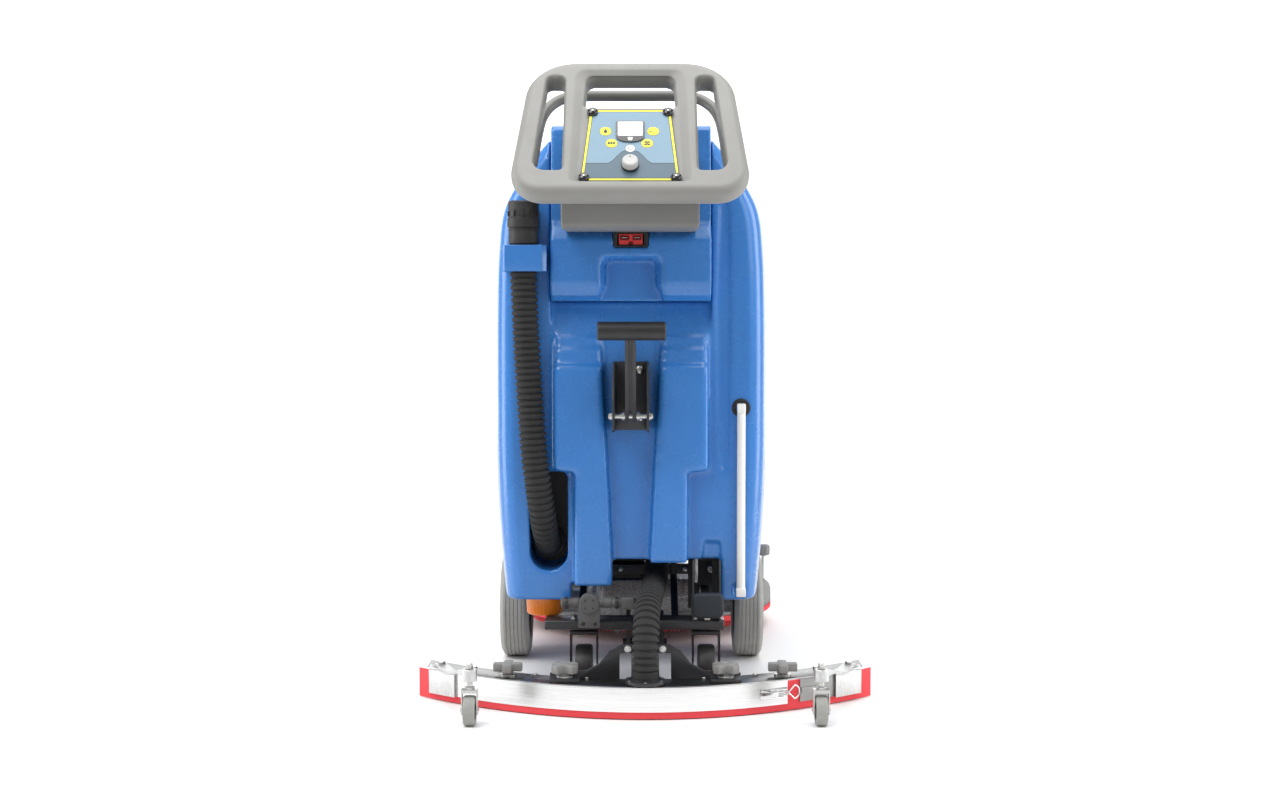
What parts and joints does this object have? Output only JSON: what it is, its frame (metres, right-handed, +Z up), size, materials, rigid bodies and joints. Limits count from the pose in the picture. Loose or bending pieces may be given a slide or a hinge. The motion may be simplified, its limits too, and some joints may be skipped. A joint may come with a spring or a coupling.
{
  "type": "floor scrubber machine",
  "caption": "Walk-behind floor scrubber with moulded tanks, ring console, round scrub brush and curved wiping squeegee.",
  "frame": {"origin": "on the floor under the middle of the whole machine", "axes": "+X to the operator's right, +Y forwards, +Z up"},
  "size_m": [0.8, 1.3134, 1.1024],
  "materials": {
    "body_blue": "smooth glossy moulded polyethylene",
    "console_grey": "satin, very fine grain",
    "trim_grey": "satin moulded",
    "black_plastic": "satin black",
    "frame_black": "satin black powder coat",
    "steel": "brushed stainless",
    "cast_grey": "rough cast, painted grey",
    "blade_red": "smooth red polyurethane",
    "bristle_red": "red bristle tufts",
    "tyre_grey": "grey non-marking rubber",
    "cap_orange": "glossy orange",
    "tube_white": "milky tube",
    "panel_blue": "printed overlay",
    "display_black": "glossy window",
    "button_yellow": "yellow key",
    "button_white": "white key",
    "knob_silver": "silver painted",
    "pedal_blue": "dark blue-grey rubber pad",
    "battery_black": "dark case",
    "hose_black": "corrugated black hose",
    "bail_grey": "grey painted tube"
  },
  "bodies": {
    "chassis": {"chassis_frame": "frame_black", "transaxle": "cast_grey", "drive_motor": "cast_grey", "solution_tank": "body_blue", "rear_housing": "body_blue", "suction_motor": "battery_black", "hose_strap": "body_blue", "drain_hose": "hose_black", "squeegee_hose": "hose_black", "level_tube": "tube_white", "charger_socket": "black_plastic", "battery_left": "battery_black", "battery_right": "battery_black", "console": "console_grey", "console_neck": "console_grey", "control_panel": "panel_blue", "display": "display_black", "pedal_bracket": "frame_black", "water_valve": "trim_grey", "lever_bracket": "frame_black"},
    "drive_wheel_left": {"drive_wheel_left": "tyre_grey"},
    "drive_wheel_right": {"drive_wheel_right": "tyre_grey"},
    "caster_left_fork": {"caster_left_fork": "frame_black"},
    "caster_left_wheel": {"caster_left_wheel": "black_plastic"},
    "caster_right_fork": {"caster_right_fork": "frame_black"},
    "caster_right_wheel": {"caster_right_wheel": "black_plastic"},
    "recovery_tank": {"recovery_tank": "body_blue"},
    "tank_lid": {"tank_lid": "console_grey"},
    "filler_cap": {"filler_cap": "black_plastic"},
    "filter_cap": {"filter_cap": "cap_orange"},
    "drain_cap": {"drain_cap": "black_plastic"},
    "drive_bail": {"drive_bail": "bail_grey"},
    "speed_knob": {"speed_knob": "knob_silver"},
    "button_water": {"button_water": "button_yellow"},
    "button_battery": {"button_battery": "button_yellow"},
    "button_squeegee": {"button_squeegee": "button_yellow"},
    "button_vacuum": {"button_vacuum": "button_yellow"},
    "button_power": {"button_power": "button_white"},
    "brush_deck": {"deck_cover": "trim_grey", "deck_skirt": "blade_red", "brush_motor": "cast_grey"},
    "deck_knob": {"deck_knob": "trim_grey"},
    "scrub_brush": {"scrub_brush": "bristle_red"},
    "deck_pedal": {"deck_pedal": "pedal_blue"},
    "squeegee_arm": {"squeegee_arm": "frame_black"},
    "squeegee": {"squeegee_body": "steel", "rear_blade": "blade_red", "front_blade": "blade_red", "blade_strip": "steel", "squeegee_bracket": "frame_black"},
    "lift_lever": {"lift_lever": "frame_black"},
    "squeegee_caster_left_fork": {"squeegee_caster_left_fork": "steel"},
    "squeegee_caster_left_wheel": {"squeegee_caster_left_wheel": "tyre_grey"},
    "squeegee_caster_right_fork": {"squeegee_caster_right_fork": "steel"},
    "squeegee_caster_right_wheel": {"squeegee_caster_right_wheel": "tyre_grey"},
    "inner_knob_left": {"inner_knob_left": "trim_grey"},
    "inner_knob_right": {"inner_knob_right": "trim_grey"},
    "outer_knob_left": {"outer_knob_left": "trim_grey"},
    "outer_knob_right": {"outer_knob_right": "trim_grey"},
    "strip_latch": {"strip_latch": "steel"}
  },
  "joints": [
    {"name": "drive_wheel_left_spin", "type": "hinge", "parent": "chassis", "child": "drive_wheel_left", "pos_m": [-0.253, 0, 0.1025], "axis": [1, 0, 0], "continuous": true},
    {"name": "drive_wheel_right_spin", "type": "hinge", "parent": "chassis", "child": "drive_wheel_right", "pos_m": [0.203, 0, 0.1025], "axis": [1, 0, 0], "continuous": true},
    {"name": "caster_left_swivel", "type": "hinge", "parent": "chassis", "child": "caster_left_fork", "pos_m": [-0.1085, -0.35, 0.1187], "axis": [0, 0, 1], "continuous": true},
    {"name": "caster_left_roll", "type": "hinge", "parent": "caster_left_fork", "child": "caster_left_wheel", "pos_m": [-0.1085, -0.368, 0.045], "axis": [1, 0, 0], "continuous": true},
    {"name": "caster_right_swivel", "type": "hinge", "parent": "chassis", "child": "caster_right_fork", "pos_m": [0.1085, -0.35, 0.1187], "axis": [0, 0, 1], "continuous": true},
    {"name": "caster_right_roll", "type": "hinge", "parent": "caster_right_fork", "child": "caster_right_wheel", "pos_m": [0.1085, -0.368, 0.045], "axis": [1, 0, 0], "continuous": true},
    {"name": "recovery_tilt", "type": "hinge", "parent": "chassis", "child": "recovery_tank", "pos_m": [-0.025, 0.5, 0.63], "axis": [-1, 0, 0], "range_deg": [0, 55]},
    {"name": "tank_lid_open", "type": "hinge", "parent": "recovery_tank", "child": "tank_lid", "pos_m": [-0.025, -0.122, 0.9653], "axis": [1, 0, 0], "range_deg": [0, 88]},
    {"name": "filler_cap_turn", "type": "hinge", "parent": "chassis", "child": "filler_cap", "pos_m": [-0.025, 0.548, 0.6], "axis": [0, 0, 1], "continuous": true},
    {"name": "filter_cap_turn", "type": "hinge", "parent": "chassis", "child": "filter_cap", "pos_m": [-0.181, -0.32, 0.1697], "axis": [0, 0, 1], "continuous": true},
    {"name": "drain_cap_turn", "type": "hinge", "parent": "chassis", "child": "drain_cap", "pos_m": [-0.2115, -0.408, 0.7986], "axis": [0, 0, 1], "continuous": true},
    {"name": "drive_bail_pull", "type": "hinge", "parent": "chassis", "child": "drive_bail", "pos_m": [-0.025, -0.55719, 0.92218], "axis": [1, 0, 0], "range_deg": [0, 7], "stiffness_Nm_per_rad": 6, "springref_deg": -5.73},
    {"name": "speed_knob_turn", "type": "hinge", "parent": "chassis", "child": "speed_knob", "pos_m": [-0.025, -0.61883, 0.91805], "axis": [0, -0.7771, 0.6293], "range_deg": [-135, 135]},
    {"name": "button_water_press", "type": "slide", "parent": "chassis", "child": "button_water", "axis": [0, 0.7771, -0.6293], "range_m": [0, 0.0015], "stiffness_N_per_m": 600, "springref_m": -0.0003},
    {"name": "button_battery_press", "type": "slide", "parent": "chassis", "child": "button_battery", "axis": [0, 0.7771, -0.6293], "range_m": [0, 0.0015], "stiffness_N_per_m": 600, "springref_m": -0.0003},
    {"name": "button_squeegee_press", "type": "slide", "parent": "chassis", "child": "button_squeegee", "axis": [0, 0.7771, -0.6293], "range_m": [0, 0.0015], "stiffness_N_per_m": 600, "springref_m": -0.0003},
    {"name": "button_vacuum_press", "type": "slide", "parent": "chassis", "child": "button_vacuum", "axis": [0, 0.7771, -0.6293], "range_m": [0, 0.0015], "stiffness_N_per_m": 600, "springref_m": -0.0003},
    {"name": "button_power_press", "type": "slide", "parent": "chassis", "child": "button_power", "axis": [0, 0.7771, -0.6293], "range_m": [0, 0.0015], "stiffness_N_per_m": 600, "springref_m": -0.0003},
    {"name": "deck_lift", "type": "slide", "parent": "chassis", "child": "brush_deck", "axis": [0, 0, 1], "range_m": [-0.029, 0]},
    {"name": "pedal_press", "type": "hinge", "parent": "chassis", "child": "deck_pedal", "pos_m": [0.1085, -0.3, 0.175], "axis": [1, 0, 0], "range_deg": [-15, 0]},
    {"name": "brush_spin", "type": "hinge", "parent": "brush_deck", "child": "scrub_brush", "pos_m": [0, 0.3787, 0.05], "axis": [0, 0, 1], "continuous": true},
    {"name": "deck_knob_turn", "type": "hinge", "parent": "brush_deck", "child": "deck_knob", "pos_m": [0.262, 0.3787, 0.09], "axis": [0, 0, 1], "continuous": true},
    {"name": "lever_pull", "type": "hinge", "parent": "chassis", "child": "lift_lever", "pos_m": [-0.025, -0.455, 0.502], "axis": [1, 0, 0], "range_deg": [0, 50]},
    {"name": "squeegee_lift", "type": "hinge", "parent": "chassis", "child": "squeegee_arm", "pos_m": [0, -0.3, 0.082], "axis": [-1, 0, 0], "range_deg": [0, 12], "deforming": ["squeegee_hose"]},
    {"name": "squeegee_swivel", "type": "hinge", "parent": "squeegee_arm", "child": "squeegee", "pos_m": [0, -0.545, 0.0665], "axis": [0, 0, 1], "range_deg": [-10, 10]},
    {"name": "squeegee_caster_left_swivel", "type": "hinge", "parent": "squeegee", "child": "squeegee_caster_left_fork", "pos_m": [-0.29, -0.607, 0.08], "axis": [0, 0, 1], "continuous": true},
    {"name": "squeegee_caster_left_roll", "type": "hinge", "parent": "squeegee_caster_left_fork", "child": "squeegee_caster_left_wheel", "pos_m": [-0.29, -0.607, 0.025], "axis": [1, 0, 0], "continuous": true},
    {"name": "squeegee_caster_right_swivel", "type": "hinge", "parent": "squeegee", "child": "squeegee_caster_right_fork", "pos_m": [0.29, -0.607, 0.08], "axis": [0, 0, 1], "continuous": true},
    {"name": "squeegee_caster_right_roll", "type": "hinge", "parent": "squeegee_caster_right_fork", "child": "squeegee_caster_right_wheel", "pos_m": [0.29, -0.607, 0.025], "axis": [1, 0, 0], "continuous": true},
    {"name": "inner_knob_left_turn", "type": "hinge", "parent": "squeegee", "child": "inner_knob_left", "pos_m": [-0.137, -0.51365, 0.06], "axis": [0, 0, 1], "continuous": true},
    {"name": "inner_knob_right_turn", "type": "hinge", "parent": "squeegee", "child": "inner_knob_right", "pos_m": [0.137, -0.51365, 0.06], "axis": [0, 0, 1], "continuous": true},
    {"name": "outer_knob_left_turn", "type": "hinge", "parent": "squeegee", "child": "outer_knob_left", "pos_m": [-0.237, -0.47111, 0.06], "axis": [0, 0, 1], "continuous": true},
    {"name": "outer_knob_right_turn", "type": "hinge", "parent": "squeegee", "child": "outer_knob_right", "pos_m": [0.237, -0.47111, 0.06], "axis": [0, 0, 1], "continuous": true},
    {"name": "strip_latch_open", "type": "hinge", "parent": "squeegee", "child": "strip_latch", "pos_m": [0.247, -0.5086, 0.034], "axis": [0, 0, -1], "range_deg": [0, 70]}
  ],
  "couplings": [
    {"joint": "pedal_press", "follows": "deck_lift", "rad_per_m": 9.02},
    {"joint": "squeegee_lift", "follows": "lever_pull", "ratio": 0.24}
  ]
}
